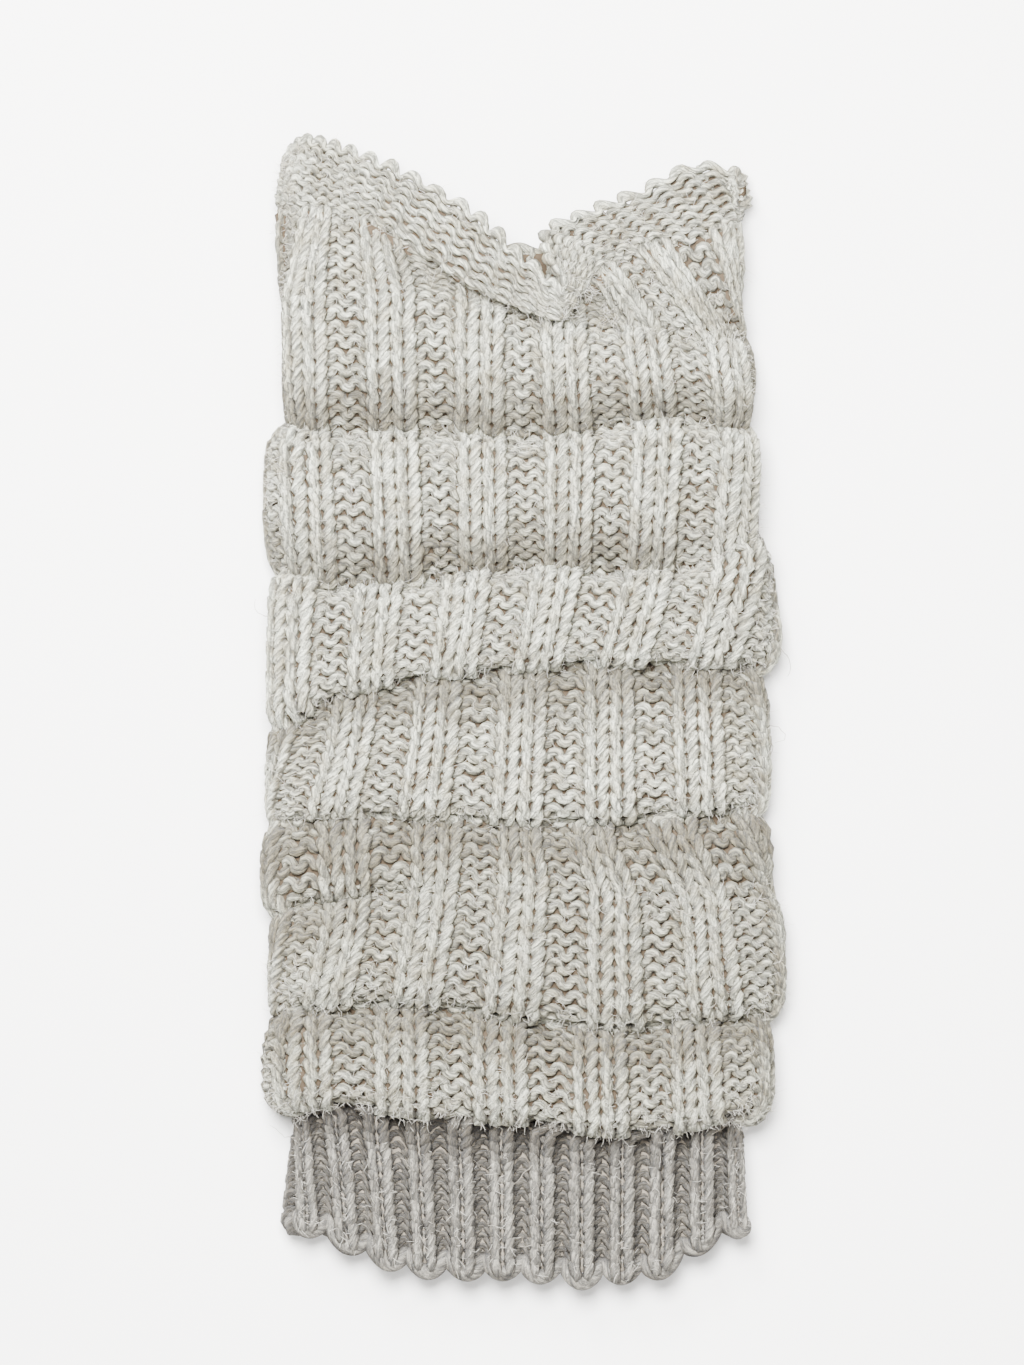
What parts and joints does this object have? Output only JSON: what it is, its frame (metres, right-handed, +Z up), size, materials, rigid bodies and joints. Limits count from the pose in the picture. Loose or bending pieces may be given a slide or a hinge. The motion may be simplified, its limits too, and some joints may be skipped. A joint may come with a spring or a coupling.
{
  "type": "leg warmer",
  "caption": "Open tube of thick ribbed knit lying flat, pushed down into soft cross folds, with a rolled purl top band and a narrow ribbed ankle cuff.",
  "frame": {"origin": "centre of the footprint on the plane the leg warmer lies on", "axes": "+Y along the length, from the ankle cuff to the top band; +Z up out of the plane; +X across the front"},
  "size_m": [0.158, 0.3408, 0.029],
  "materials": {
    "oatmeal_wool": "thick heathered oatmeal wool in rib, soft and matt with a short halo of loose fibres"
  },
  "bodies": {
    "root": {"top_band": "oatmeal_wool", "ribbed_leg": "oatmeal_wool", "ankle_cuff": "oatmeal_wool"}
  },
  "joints": []
}
